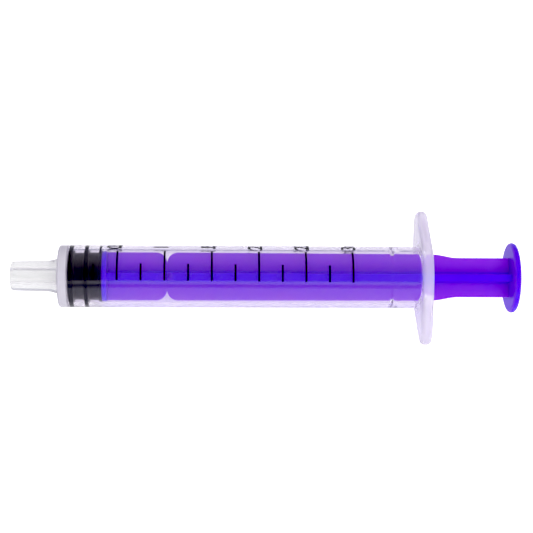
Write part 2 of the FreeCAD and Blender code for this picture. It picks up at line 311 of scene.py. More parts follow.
def linear(code: str) -> tuple[float, float, float, float]:
    """Turns an sRGB hex colour to the linear one that shaders use."""
    parts = [int(code[i : i + 2], 16) / 255 for i in (0, 2, 4)]
    r, g, b = (c / 12.92 if c <= 0.04045 else ((c + 0.055) / 1.055) ** 2.4 for c in parts)
    return (r, g, b, 1.0)


def add(
    tree: bpy.types.NodeTree,
    kind: str,
    inputs: dict[str | int, Any] | None = None,
    settings: dict[str, Any] | None = None,
) -> bpy.types.Node:
    """Adds a node with its settings, its values and its links.

    Args:
        tree: Node tree that it goes in.
        kind: Type of node.
        inputs: Value or source socket of each input, by name or number.
        settings: Settings of the node itself.

    Returns:
        The new node.
    """
    node = tree.nodes.new(kind)
    for key, value in (settings or {}).items():
        setattr(node, key, value)
    for key, value in (inputs or {}).items():
        if isinstance(value, bpy.types.NodeSocket):
            tree.links.new(value, node.inputs[key])
        else:
            node.inputs[key].default_value = value
    return node


def new_material(name: str) -> tuple[bpy.types.Material, bpy.types.NodeTree]:
    """Makes an empty node material."""
    material = bpy.data.materials.new(name)
    material.use_nodes = True
    material.node_tree.nodes.clear()
    return material, material.node_tree


def object_space(tree: bpy.types.NodeTree, scale: Sequence[float]) -> bpy.types.NodeSocket:
    """Object coordinates scaled to pattern units of one millimetre times the given factors."""
    place = add(tree, "ShaderNodeTexCoord")
    stretch = [1000.0 * s for s in scale]
    mapping = add(tree, "ShaderNodeMapping", {"Vector": place.outputs["Object"], "Scale": stretch})
    return mapping.outputs["Vector"]


def maths(
    tree: bpy.types.NodeTree,
    operation: str,
    *values: Any,
    clamp: bool = False,
) -> bpy.types.NodeSocket:
    """Result of an operation on one or two values or sockets."""
    settings = {"operation": operation, "use_clamp": clamp}
    return add(tree, "ShaderNodeMath", dict(enumerate(values)), settings).outputs["Value"]


def noise(
    tree: bpy.types.NodeTree, scale: Sequence[float], detail: float
) -> bpy.types.NodeSocket:
    """Soft noise, stretched by a factor for each axis in which 1 is a pattern of about 1 mm."""
    inputs = {"Vector": object_space(tree, scale), "Scale": 1.0, "Detail": detail}
    return add(tree, "ShaderNodeTexNoise", inputs).outputs["Fac"]


def bumped(
    tree: bpy.types.NodeTree, height: bpy.types.NodeSocket, strength: float, depth: float
) -> bpy.types.NodeSocket:
    """Normal of a surface with a relief, whose depth is in metres."""
    inputs = {"Strength": strength, "Distance": depth, "Height": height}
    return add(tree, "ShaderNodeBump", inputs).outputs["Normal"]


def spread(
    tree: bpy.types.NodeTree,
    value: bpy.types.NodeSocket,
    source: tuple[float, float],
    target: tuple[float, float],
) -> bpy.types.NodeSocket:
    """Value carried from one range to another and kept within it."""
    inputs = {
        "Value": value,
        "From Min": source[0],
        "From Max": source[1],
        "To Min": target[0],
        "To Max": target[1],
    }
    return add(tree, "ShaderNodeMapRange", inputs).outputs["Result"]


def blended(
    tree: bpy.types.NodeTree, share: bpy.types.NodeSocket, first: str, second: str
) -> bpy.types.NodeSocket:
    """Colour between two hex colours."""
    # The Mix node names its inputs alike for every kind of data, so numbers pick the colours.
    inputs = {0: share, 6: linear(first), 7: linear(second)}
    return add(tree, "ShaderNodeMix", inputs, {"data_type": "RGBA"}).outputs[2]


def from_axis(tree: bpy.types.NodeTree) -> tuple[bpy.types.NodeSocket, bpy.types.NodeSocket]:
    """Station in millimetres, and the vector straight out from the axis."""
    apart = add(tree, "ShaderNodeSeparateXYZ", {"Vector": object_space(tree, (1.0, 1.0, 1.0))})
    ends = {"Y": apart.outputs["Y"], "Z": apart.outputs["Z"]}
    across = add(tree, "ShaderNodeCombineXYZ", ends)
    return apart.outputs["X"], across.outputs["Vector"]


def surface_only(tree: bpy.types.NodeTree, shader: bpy.types.NodeSocket) -> None:
    """Sends a shader to the material's surface."""
    add(tree, "ShaderNodeOutputMaterial", {"Surface": shader})


@dataclass(frozen=True)
class ClearPolypropylene:
    """Clarified polypropylene, injection moulded: clear where it is thin, milky where it is thick.

    The polished mould gives it its gloss. Crystals in the plastic scatter light, which hardly
    shows through the thin tube but clouds the nozzle and the flange, and the melt leaves faint
    flow lines along the barrel. Sizes are in millimetres.
    """

    nozzle_colour: str = "fafbf9"
    # The wall and tube colours are painted shade and a painted violet cast of what lies behind
    # them.
    painted_wall_shade: str = "dedbe4"
    painted_tube_violet: str = "f8f4fc"
    haze_colour: str = "f8ecfb"
    ior: float = 1.49
    roughness: float = 0.05
    haze: float = 0.06
    nozzle_share: float = 0.85
    front_share: float = 0.25
    flange_share: float = 0.5
    shoulder: float = 8.2
    front_wall: float = 9.75
    flange_core: float = 5.4
    rim_width: float = 0.9
    flow_depth: float = 0.004
    ramp_length: float = 10.0
    ramp_lead: float = 0.1

    def clearness(self, tree: bpy.types.NodeTree) -> bpy.types.NodeSocket:
        """Share of light that goes through, from how thick the moulding is at each place."""
        x, across = from_axis(tree)
        radius = add(tree, "ShaderNodeVectorMath", {0: across}, {"operation": "LENGTH"})
        along = spread(tree, x, (0.0, self.ramp_length), (0.0, 1.0))
        ramp = add(tree, "ShaderNodeValToRGB", {"Fac": along})
        stops = ramp.color_ramp.elements
        stops[0].position = (self.shoulder - self.ramp_lead) / self.ramp_length
        stops[1].position = 1.0
        stops[0].color = (self.nozzle_share,) * 3 + (1.0,)
        for station, share in (
            (self.shoulder + 3 * self.ramp_lead, self.front_share),
            (self.front_wall - self.ramp_lead, self.front_share),
            (self.front_wall + self.ramp_lead, 1.0),
        ):
            stops.new(station / self.ramp_length).color = (share,) * 3 + (1.0,)
        rim = spread(
            tree,
            radius.outputs["Value"],
            (self.flange_core, self.flange_core + self.rim_width),
            (1.0, self.flange_share),
        )
        return maths(tree, "MULTIPLY", ramp.outputs["Color"], rim)

    def tint(self, tree: bpy.types.NodeTree) -> bpy.types.NodeSocket:
        """Faint colours painted in for what shows through, which stay when the plunger moves:
        painted light and shade.

        The tube takes a painted violet cast of the rod inside it and the front wall a painted
        grey shade of the seal behind it. The nozzle has neither near it.
        """
        x, _ = from_axis(tree)
        along = maths(tree, "DIVIDE", x, self.ramp_length)
        ramp = add(tree, "ShaderNodeValToRGB", {"Fac": along})
        stops = ramp.color_ramp.elements
        stops[0].position = (self.shoulder - 5 * self.ramp_lead) / self.ramp_length
        stops[1].position = 1.0
        stops[0].color, stops[1].color = linear(self.nozzle_colour), linear(self.painted_tube_violet)
        for station in (self.shoulder, self.front_wall):
            stops.new(station / self.ramp_length).color = linear(self.painted_wall_shade)
        return ramp.outputs["Color"]

    def make(self) -> bpy.types.Material:
        """Builds the material."""
        material, tree = new_material("clarified_polypropylene")
        flow = noise(tree, (0.06, 0.9, 0.9), 2.0)
        cloud = noise(tree, (0.4, 0.7, 0.7), 3.0)
        rough = (self.roughness * 0.7, self.roughness * 1.4)
        # Base colour with painted light and shade: the rod's violet and the seal's grey, as seen
        # through the wall.
        colour = self.tint(tree)
        glass = add(
            tree,
            "ShaderNodeBsdfPrincipled",
            {
                "Base Color": colour,
                "IOR": self.ior,
                "Transmission Weight": self.clearness(tree),
                "Roughness": spread(tree, cloud, (0.3, 0.7), rough),
                "Normal": bumped(tree, flow, self.flow_depth, 0.4 * MM),
            },
        )
        haze = add(tree, "ShaderNodeBsdfTranslucent", {"Color": linear(self.haze_colour)})
        open_way = add(tree, "ShaderNodeBsdfTransparent", {"Color": colour})
        path = add(tree, "ShaderNodeLightPath")
        shader = glass.outputs["BSDF"]
        # Rays that light other things pass straight through, as the thin wall hardly bends them.
        for share, other in (
            (self.haze, haze),
            (path.outputs["Is Diffuse Ray"], open_way),
            (path.outputs["Is Shadow Ray"], open_way),
        ):
            inputs = {"Fac": share, 1: shader, 2: other.outputs["BSDF"]}
            shader = add(tree, "ShaderNodeMixShader", inputs).outputs["Shader"]
        surface_only(tree, shader)
        return material


@dataclass(frozen=True)
class VioletPolypropylene:
    """Polypropylene coloured violet through and through, injection moulded.

    Its colour is painted by the way each face turns: the flat sides of the thin ribs lighter and
    redder, a painted backlight for light shining through them, and the ends of the ribs and the
    core, with more plastic behind them, deep blue. The mould's polish leaves a soft gloss.
    """

    backlit_thin_colour: str = "a34ae2"
    thick_colour: str = "5e20e8"
    ior: float = 1.49
    roughness: float = 0.35
    scatter_depth: float = 0.5
    disc_share: float = 0.75
    streak: float = 0.12

    def depth(self, tree: bpy.types.NodeTree) -> bpy.types.NodeSocket:
        """Stand-in for the depth of plastic behind the surface, from the way it faces.
        It sets the painted backlight: low depth gives the lighter, redder colour of light shining
        through thin plastic.

        It is 1 at the ends of the ribs, which face straight out from the axis, less at the
        faces of the discs, and near 0 at the flat sides of the ribs.
        """
        _, across = from_axis(tree)
        outwards = add(tree, "ShaderNodeVectorMath", {0: across}, {"operation": "NORMALIZE"})
        normal = add(tree, "ShaderNodeTexCoord").outputs["Normal"]
        facing = add(
            tree,
            "ShaderNodeVectorMath",
            {0: outwards.outputs["Vector"], 1: normal},
            {"operation": "DOT_PRODUCT"},
        )
        outer = maths(tree, "ABSOLUTE", facing.outputs["Value"])
        end = add(tree, "ShaderNodeSeparateXYZ", {"Vector": normal}).outputs["X"]
        disc = maths(tree, "MULTIPLY", maths(tree, "ABSOLUTE", end), self.disc_share)
        return maths(tree, "MAXIMUM", outer, disc)

    def make(self) -> bpy.types.Material:
        """Builds the material."""
        material, tree = new_material("violet_polypropylene")
        swirl = noise(tree, (0.12, 0.4, 0.4), 3.0)
        streak = spread(tree, swirl, (0.0, 1.0), (-self.streak, self.streak))
        # Share of deep blue against the painted backlight of the thin ribs, with random streaks.
        share = maths(tree, "ADD", self.depth(tree), streak, clamp=True)
        grain = noise(tree, (2.2, 2.2, 2.2), 2.0)
        plastic = add(
            tree,
            "ShaderNodeBsdfPrincipled",
            {
                "Base Color": blended(tree, share, self.backlit_thin_colour, self.thick_colour),
                "IOR": self.ior,
                "Roughness": self.roughness,
                "Specular IOR Level": 0.2,
                "Subsurface Weight": 1.0,
                "Subsurface Radius": (1.0, 0.5, 0.7),
                "Subsurface Scale": self.scatter_depth * MM,
                "Normal": bumped(tree, grain, 0.05, 0.04 * MM),
            },
        )
        surface_only(tree, plastic.outputs["BSDF"])
        return material


@dataclass(frozen=True)
class BlackRubber:
    """Synthetic polyisoprene rubber, compression moulded and wiped with silicone oil.

    Carbon black makes it nearly black, and the mould leaves a fine satin grain. Its gloss
    has a bluish tint, a painted reflection of bluish room light.
    """

    colour: str = "07070c"
    painted_reflection_tint: str = "8894ff"
    ior: float = 1.52
    roughness: float = 0.34

    def make(self) -> bpy.types.Material:
        """Builds the material."""
        material, tree = new_material("black_rubber")
        grain = noise(tree, (6.0, 6.0, 6.0), 3.0)
        rubber = add(
            tree,
            "ShaderNodeBsdfPrincipled",
            {
                "Base Color": linear(self.colour),
                "IOR": self.ior,
                "Roughness": self.roughness,
                "Specular IOR Level": 0.2,
                # Painted reflection: a bluish tint on the gloss.
                "Specular Tint": linear(self.painted_reflection_tint),
                "Normal": bumped(tree, grain, 0.15, 0.02 * MM),
            },
        )
        surface_only(tree, rubber.outputs["BSDF"])
        return material


@dataclass(frozen=True)
class BlackInk:
    """Black printing ink, offset printed on the barrel and cured: opaque with a soft gloss."""

    colour: str = "0b0b10"
    roughness: float = 0.4

    def make(self) -> bpy.types.Material:
        """Builds the material."""
        material, tree = new_material("black_printing_ink")
        mottle = noise(tree, (5.0, 5.0, 5.0), 2.0)
        rough = (self.roughness * 0.8, self.roughness * 1.3)
        ink = add(
            tree,
            "ShaderNodeBsdfPrincipled",
            {
                "Base Color": linear(self.colour),
                "Roughness": spread(tree, mottle, (0.0, 1.0), rough),
                "Specular IOR Level": 0.3,
            },
        )
        surface_only(tree, ink.outputs["BSDF"])
        return material


# ---------------------------------------------------------------- barrel


@dataclass
class Barrel:
    """Clear moulding of nozzle, tube and finger flange. Sizes are in millimetres."""

    finish: ClearPolypropylene = field(default_factory=ClearPolypropylene)
    bore_radius: float = 4.475
    radius: float = 5.305
    lumen_radius: float = 1.0
    tip_radius: float = 2.51
    tip_round: float = 0.6
    root_radius: float = 2.68
    collar_radius: float = 2.96
    collar_start: float = 6.7
    collar_end: float = 7.7
    shoulder_x: float = 8.2
    shoulder_round: float = 0.45
    front_wall_x: float = 9.75
    mouth_x: float = field(default_factory=lambda: far_end("barrel"))
    root_fillet: float = 0.45
    stop_ring_from_mouth: float = 6.2
    stop_ring_half: float = 0.8
    stop_ring_apex: float = 0.27
    mouth_chamfer: float = 0.3
    flange_thickness: float = 1.85
    flange_middle: float = 7.4
    flange_end: float = 3.1
    flange_offset: float = 8.8
    flange_lean: float = 29.251
    flange_round: float = 0.75
    steps: int = 256
    piece: bpy.types.Object | None = None

    @property
    def flange_x(self) -> float:
        """Station of the flange's front face."""
        return self.mouth_x - self.flange_thickness

    def tube_outline(self) -> list[Point]:
        """Outline from the flange's front face, round the nozzle, and back to the mouth."""
        bore, outer = self.bore_radius, self.radius
        ring = self.mouth_x - self.stop_ring_from_mouth
        fillet = arc_points(
            (self.flange_x - self.root_fillet, outer + self.root_fillet),
            self.root_fillet,
            0,
            -90,
            8,
        )
        run = [
            Corner(self.flange_x - self.root_fillet, outer),
            Corner(self.shoulder_x, outer, self.shoulder_round),
            Corner(self.shoulder_x, self.collar_radius, 0.1),
            Corner(self.collar_end, self.collar_radius, 0.4),
            Corner(self.collar_start, self.root_radius, 0.25),
            Corner(0, self.tip_radius, self.tip_round),
            Corner(0, self.lumen_radius, 0.12),
            Corner(self.front_wall_x, self.lumen_radius, 0.12),
            Corner(self.front_wall_x, bore, 0.2),
            Corner(ring - self.stop_ring_half, bore, 0.5),
            Corner(ring, bore - self.stop_ring_apex, 0.9),
            Corner(ring + self.stop_ring_half, bore, 0.5),
            Corner(self.mouth_x - self.mouth_chamfer, bore, 0.15),
            Corner(self.mouth_x, bore + self.mouth_chamfer),
        ]
        return fillet[:-1] + rounded(run)

    def flange_shell(self) -> bpy.types.Object:
        """Rim of the flange: the hull of three discs, edges rounded, its flats left open."""
        thick = self.flange_thickness
        x = (self.flange_x + self.mouth_x) / 2
        lean = math.radians(self.flange_lean)
        discs = []
        for side, radius in ((-1, self.flange_end), (0, self.flange_middle), (1, self.flange_end)):
            clear_selection()
            reach = side * self.flange_offset
            place = Vector((x, reach * math.cos(lean), reach * math.sin(lean))) * MM
            bpy.ops.mesh.primitive_cylinder_add(
                vertices=self.steps if side == 0 else 120,
                radius=radius * MM,
                depth=thick * MM,
                location=place,
                rotation=(0, math.pi / 2, 0),
            )
            bpy.ops.object.transform_apply(location=True, rotation=True, scale=True)
            discs.append(bpy.context.object)
        shell = joined("flange", discs)
        bpy.ops.object.mode_set(mode="EDIT")
        bpy.ops.mesh.select_all(action="SELECT")
        bpy.ops.mesh.convex_hull()
        bpy.ops.mesh.select_all(action="SELECT")
        bpy.ops.mesh.dissolve_limited(angle_limit=math.radians(0.2))
        pick("EDGE", lambda e: abs(e.verts[0].co.x - e.verts[1].co.x) < 1e-6)
        bpy.ops.mesh.bevel(offset=self.flange_round * MM, segments=8, profile=0.5)
        pick("FACE", lambda f: abs(abs(f.normal.x) - 1) < 1e-5 and f.calc_area() > 1e-5)
        bpy.ops.mesh.delete(type="ONLY_FACE")
        bpy.ops.object.mode_set(mode="OBJECT")
        return shell

    def build(self) -> None:
        """Spins the tube, and closes the flange's two flats between its rim and the tube."""
        tube = turned("tube", self.tube_outline(), self.steps)
        bpy.ops.object.mode_set(mode="OBJECT")
        shell = self.flange_shell()
        self.piece = joined("barrel_moulding", [tube, shell])
        bpy.ops.object.mode_set(mode="EDIT")
        for x in (self.flange_x, self.mouth_x):
            level = x * MM
            pick(
                "EDGE",
                lambda e: e.is_boundary and all(abs(v.co.x - level) < 1e-6 for v in e.verts),
            )
            bpy.ops.mesh.bridge_edge_loops()
        bpy.ops.mesh.select_all(action="SELECT")
        bpy.ops.mesh.normals_make_consistent(inside=False)
        bpy.ops.object.mode_set(mode="OBJECT")

    def dress(self) -> None:
        """Gives the moulding its material and its place in the frame."""
        finish_piece(self.piece, self.finish.make(), Body.BARREL, "barrel")


# ---------------------------------------------------------------- printed scale


@dataclass
class PrintedScale:
    """Lines and numbers printed on the barrel. Sizes are in millimetres, angles in degrees."""

    finish: BlackInk = field(default_factory=BlackInk)
    surface_radius: float = 5.305
    proud: float = 0.03
    bonded: float = 0.012
    zero_x: float = field(default_factory=lambda: near_end("graduation_lines") + 0.17)
    ml_length: float = 15.8951
    step_ml: float = 0.25
    line_count: int = 13
    line_width: float = 0.34
    start_angle: float = 35.5
    short_span: float = 31.2
    long_span: float = 61.5
    skew_per_ml: float = -1.2
    skew_centre: float = 1.5
    numeral_height: float = 2.5
    numeral_gap: float = 0.55
    numeral_base: float = 0.58
    numeral_bold: float = 0.04
    lines: bpy.types.Object | None = None
    numbers: bpy.types.Object | None = None

    def skew(self, volume: float) -> float:
        """Turn of the print at a volume, in degrees."""
        return self.skew_per_ml * (volume - self.skew_centre)

    def line(self, index: int) -> bpy.types.Object:
        """One line, as a small rectangle swept round the barrel."""
        volume = index * self.step_ml
        span = self.long_span if index % 2 == 0 else self.short_span
        start = math.radians(self.start_angle + self.skew(volume))
        x = self.zero_x + volume * self.ml_length
        low, high = self.surface_radius - self.bonded, self.surface_radius + self.proud
        clear_selection()
        middle = Vector((x, 0, (low + high) / 2)) * MM
        bpy.ops.mesh.primitive_plane_add(size=MM, location=middle, rotation=(math.pi / 2, 0, 0))
        piece = bpy.context.object
        piece.scale = (self.line_width, high - low, 1)
        bpy.ops.object.transform_apply(location=True, rotation=True, scale=True)
        turn_to(piece, start)
        bpy.ops.object.mode_set(mode="EDIT")
        bpy.ops.mesh.select_all(action="SELECT")
        bpy.ops.mesh.spin(
            steps=round(span * 1.5),
            angle=math.radians(span),
            center=(0, 0, 0),
            axis=(1, 0, 0),
        )
        bpy.ops.mesh.select_all(action="SELECT")
        bpy.ops.mesh.normals_make_consistent(inside=False)
        bpy.ops.object.mode_set(mode="OBJECT")
        return piece

    def number(self, index: int) -> bpy.types.Object:
        """One number, drawn flat, cut across so that it can bend, and wrapped on the barrel."""
        volume = index * self.step_ml
        text = f"{volume:g}" + (" mL" if index == self.line_count - 1 else "")
        clear_selection()
        bpy.ops.object.text_add(location=(0, 0, 0))
        piece = bpy.context.object
        piece.data.body = text
        piece.data.size = self.numeral_height * 1.4 * MM
        piece.data.resolution_u = 6
        piece.data.offset = self.numeral_bold * MM
        bpy.ops.object.convert(target="MESH")
        piece = bpy.context.object
        radius = self.surface_radius + self.proud
        angle = math.radians(self.start_angle + self.skew(volume) + self.long_span)
        start = angle * radius + self.numeral_gap
        base = self.zero_x + volume * self.ml_length + self.numeral_base
        # Reading direction goes to +Z, the top of the characters to -X, and they face -Y.
        piece.matrix_world = Matrix(
            ((0, -1, 0, base * MM), (0, 0, -1, 0), (1, 0, 0, start * MM), (0, 0, 0, 1))
        )
        bpy.ops.object.transform_apply(location=True, rotation=True, scale=True)
        bpy.ops.object.mode_set(mode="EDIT")
        z_all = [v.co.z for v in bmesh.from_edit_mesh(piece.data).verts]
        low, high = min(z_all), max(z_all)
        for i in range(1, math.ceil((high - low) / (0.2 * MM))):
            bpy.ops.mesh.select_all(action="SELECT")
            cut = low + i * 0.2 * MM
            bpy.ops.mesh.bisect(plane_co=(0, 0, cut), plane_no=(0, 0, 1))
        bpy.ops.object.mode_set(mode="OBJECT")
        apply_modifier(
            piece,
            "SIMPLE_DEFORM",
            {"deform_method": "BEND", "deform_axis": "X", "angle": (high - low) / (radius * MM)},
        )
        only(piece)
        piece.location = (0, -radius * MM, 0)
        bpy.ops.object.transform_apply(location=True, rotation=True, scale=True)
        apply_modifier(
            piece,
            "SOLIDIFY",
            {"thickness": (self.proud + self.bonded) * MM, "offset": -1.0},
        )
        return piece

    def build(self) -> None:
        """Makes all the lines, and a number at each long one but the first."""
        self.lines = joined("scale_lines", [self.line(i) for i in range(self.line_count)])
        numbers = [self.number(i) for i in range(2, self.line_count, 2)]
        self.numbers = joined("scale_numbers", numbers)

    def dress(self) -> None:
        """Gives both prints their ink."""
        ink = self.finish.make()
        finish_piece(self.lines, ink, Body.BARREL, "graduation_lines")
        finish_piece(self.numbers, ink, Body.BARREL, "graduation_numerals")


# ---------------------------------------------------------------- seal


@dataclass
class Seal:
    """Rubber seal with two wiping rings and a thin rear rim. Sizes are in millimetres."""

    finish: BlackRubber = field(default_factory=BlackRubber)
    front_x: float = field(default_factory=lambda: near_end("plunger_seal"))
    rear_x: float = field(default_factory=lambda: far_end("plunger_seal"))
    press_radius: float = 4.495
    rim_radius: float = 4.42
    rim_shift: float = 0.07
    rim_width: float = 0.5
    front_valley: float = 4.0
    rear_valley: float = 4.05
    ring_1: tuple[float, float] = (0.15, 1.11)
    ring_2: tuple[float, float] = (2.78, 3.64)
    neck_radius: float = 1.7
    socket_radius: float = 2.6
    nose_radius: float = 1.35
    neck_depth: float = 1.35
    knob_depth: float = 3.45
    nose_depth: float = 4.15
    ring_round: float = 0.2
    valley_round: float = 0.12
    face_step: float = 0.15
    steps: int = 192
    piece: bpy.types.Object | None = None

    def outline(self) -> list[Point]:
        """Outline from the middle of the front face to the bottom of the socket."""
        ring = self.press_radius
        front, rear = self.front_valley, self.rear_valley
        start_1, end_1 = (self.front_x + x for x in self.ring_1)
        start_2, end_2 = (self.front_x + x for x in self.ring_2)
        rim_x = self.rear_x - self.rim_width
        shelf_x = self.rear_x - self.neck_depth
        cone_x = self.rear_x - self.knob_depth
        nose_x = self.rear_x - self.nose_depth
        return rounded(
            [
                Corner(self.front_x, 0),
                Corner(self.front_x, front - self.face_step, 0.1),
                Corner(start_1, front, 0.04),
                Corner(start_1, ring, self.ring_round),
                Corner(end_1, ring, self.ring_round),
                Corner(end_1, front, self.valley_round),
                Corner(start_2, front, self.valley_round),
                Corner(start_2, ring, self.ring_round),
                Corner(end_2, ring, self.ring_round),
                Corner(end_2, rear, self.valley_round),
                Corner(rim_x, rear, self.valley_round),
                Corner(rim_x, self.rim_radius, self.valley_round),
                Corner(self.rear_x, self.rim_radius, self.valley_round),
                Corner(self.rear_x, self.neck_radius, 0.05),
                Corner(shelf_x, self.neck_radius, 0.05),
                Corner(shelf_x, self.socket_radius, 0.1),
                Corner(cone_x, self.socket_radius, 0.1),
                Corner(nose_x, self.nose_radius, 0.1),
                Corner(nose_x, 0),
            ]
        )

    def build(self) -> None:
        """Spins the seal, and lets its rear rim lean to the side where it rubs on the bore."""
        self.piece = turned("rubber_seal", self.outline(), self.steps)
        low, high = (self.rear_x - self.rim_width - 0.01) * MM, (self.rear_x + 0.01) * MM
        reach = (self.rear_valley + 0.13) * MM
        pick("VERT", lambda v: low < v.co.x < high and math.hypot(v.co.y, v.co.z) > reach)
        upward = Vector((0, math.sin(FACING), math.cos(FACING)))
        bpy.ops.transform.translate(value=upward * self.rim_shift * MM)
        bpy.ops.object.mode_set(mode="OBJECT")

    def dress(self) -> None:
        """Gives the seal its rubber and its place in the frame."""
        finish_piece(self.piece, self.finish.make(), Body.SEAL, "plunger_seal")


# ---------------------------------------------------------------- plunger rod


@dataclass
class PlungerRod:
    """Violet moulding of knob, head disc, crossed ribs and thumb disc. Sizes in millimetres."""

    finish: VioletPolypropylene = field(default_factory=VioletPolypropylene)
    head_x: float = field(default_factory=lambda: far_end("plunger_seal"))
    head_thickness: float = 0.84
    head_radius: float = 4.28
    head_round: float = 0.15
    rib_thickness: float = 1.2
    rib_front: float = 4.07
    rib_rear: float = 3.96
    grip: float = 3.39
    notch_from_head: float = 10.13
    notch_round: float = 1.9
    step_from_end: float = 14.3
    step_length: float = 4.3
    thumb_rear_x: float = field(default_factory=lambda: far_end("plunger_rod"))
    thumb_thickness: float = 1.1
    thumb_radius: float = 6.02
    thumb_round: float = 0.52
    nose_depth: float = 4.1
    knob_depth: float = 3.4
    neck_depth: float = 1.4
    nose_radius: float = 1.3
    knob_radius: float = 2.55
    neck_radius: float = 1.65
    gate_radius: float = 0.9
    gate_depth: float = 0.18
    core_fillet: float = 0.45
    edge_round: float = 0.1
    steps: int = 192
    piece: bpy.types.Object | None = None

    @property
    def head_middle(self) -> float:
        """Station of the middle of the head disc, where the ribs and the knob start."""
        return self.head_x + self.head_thickness / 2

    @property
    def thumb_x(self) -> float:
        """Station of the thumb disc's front face."""
        return self.thumb_rear_x - self.thumb_thickness

    def rib_edge(self) -> list[Point]:
        """Upper edge of a rib plate: station and reach from the axis."""
        front, rear, grip = self.rib_front, self.rib_rear, self.grip
        notch = self.notch_round
        notch_x = self.head_x + self.head_thickness + self.notch_from_head
        step_x = self.thumb_rear_x - self.step_from_end
        points = [(self.head_middle, front)]
        points += arc_points((notch_x - notch, front - notch), notch, 90, 4, 14)
        points += arc_points((notch_x + notch, front - notch), notch, 176, 90, 14)
        count = 20
        for i in range(count + 1):
            share = i / count
            drop = share * share * (3 - 2 * share)
            points.append((step_x + share * self.step_length, rear + (grip - rear) * drop))
        points.append(((self.thumb_x + self.thumb_rear_x) / 2, grip))
        return points

    def rib_plate(self, angle: float) -> bpy.types.Object:
        """One plate with two ribs, extruded to its thickness and turned to its angle."""
        edge = self.rib_edge()
        loop = edge + [(x, -r) for x, r in reversed(edge)]
        points = [Vector((x, -self.rib_thickness / 2, r)) * MM for x, r in loop]
        plate = first_vertex("rib_plate", points[0])
        trace(points + points[:1])
        bpy.ops.mesh.select_all(action="SELECT")
        bpy.ops.mesh.remove_doubles(threshold=WELD)
        bpy.ops.mesh.select_all(action="SELECT")
        bpy.ops.mesh.edge_face_add()
        bpy.ops.mesh.extrude_region_move(
            TRANSFORM_OT_translate={"value": (0, self.rib_thickness * MM, 0)}
        )
        bpy.ops.mesh.select_all(action="SELECT")
        bpy.ops.mesh.normals_make_consistent(inside=False)
        half = self.rib_thickness / 2 * MM
        pick(
            "EDGE",
            lambda e: abs(abs(e.verts[0].co.y) - half) < WELD
            and abs(e.verts[0].co.y - e.verts[1].co.y) < WELD
            and abs(e.verts[0].co.x - e.verts[1].co.x) > WELD,
        )
        bpy.ops.mesh.bevel(offset=self.edge_round * MM, segments=3, profile=0.5, clamp_overlap=True)
        turn_to(plate, angle)
        return plate

    def disc(
        self,
        x0: float,
        x1: float,
        radius: float,
        rounding: float,
        centre: Sequence[Corner] = (),
    ) -> bpy.types.Object:
        """Disc with rounded rims.

        Args:
            x0: Station of its front face.
            x1: Station of its rear face.
            radius: Its radius.
            rounding: Rounding of both rims.
            centre: Corners of what is sunk in the middle of the rear face, outermost first.

        Returns:
            The disc.
        """
        rim = [Corner(x0, 0), Corner(x0, radius, rounding), Corner(x1, radius, rounding)]
        corners = rim + (list(centre) or [Corner(x1, 0)])
        return turned("disc", rounded(corners), self.steps)

    def gate_mark(self) -> list[Corner]:
        """Dimple with the stub of the broken-off feed in it, where the plastic came in."""
        rim, floor = self.gate_radius, self.thumb_rear_x - self.gate_depth
        stub = self.gate_radius / 3
        top = floor + self.gate_depth / 2
        return [
            Corner(self.thumb_rear_x, rim, 0.05),
            Corner(floor, rim * 0.85, 0.05),
            Corner(floor, stub, 0.02),
            Corner(top, stub, 0.03),
            Corner(top, 0),
        ]

    def knob(self) -> bpy.types.Object:
        """Knob that the seal is snapped over."""
        depths = (self.nose_depth, self.knob_depth, self.neck_depth)
        nose_x, cone_x, shelf_x = (self.head_x - depth for depth in depths)
        corners = [
            Corner(nose_x, 0),
            Corner(nose_x, self.nose_radius, 0.1),
            Corner(cone_x, self.knob_radius, 0.1),
            Corner(shelf_x, self.knob_radius, 0.1),
            Corner(shelf_x, self.neck_radius, 0.05),
            Corner(self.head_middle, self.neck_radius),
            Corner(self.head_middle, 0),
        ]
        return turned("knob", rounded(corners), self.steps // 2)

    def build(self) -> None:
        """Crosses the rib plates, fillets their corners, and fuses the discs and the knob."""
        self.piece = self.rib_plate(FACING)
        united(self.piece, [self.rib_plate(FACING + math.pi / 2)])
        only(self.piece)
        bpy.ops.object.mode_set(mode="EDIT")
        half = self.rib_thickness / 2 * MM
        back = Matrix.Rotation(-(math.pi / 2 - FACING), 3, "X")

        def inner(edge: bmesh.types.BMEdge) -> bool:
            """Whether an edge runs along one of the four corners of the cross."""
            ends = [back @ v.co for v in edge.verts]
            near = all(abs(abs(p.y) - half) + abs(abs(p.z) - half) < 2e-6 for p in ends)
            return near and abs(ends[0].x - ends[1].x) > 1e-6

        pick("EDGE", inner)
        bpy.ops.mesh.bevel(offset=self.core_fillet * MM, segments=5, profile=0.5)
        bpy.ops.object.mode_set(mode="OBJECT")
        head_rear_x = self.head_x + self.head_thickness
        head = self.disc(self.head_x, head_rear_x, self.head_radius, self.head_round)
        thumb = self.disc(
            self.thumb_x,
            self.thumb_rear_x,
            self.thumb_radius,
            self.thumb_round,
            self.gate_mark(),
        )
        united(self.piece, [head, thumb, self.knob()])
        self.piece.name = self.piece.data.name = "plunger_moulding"

    def dress(self) -> None:
        """Gives the rod its plastic and its place in the frame."""
        finish_piece(self.piece, self.finish.make(), Body.PLUNGER, "plunger_rod")


# ---------------------------------------------------------------- stage


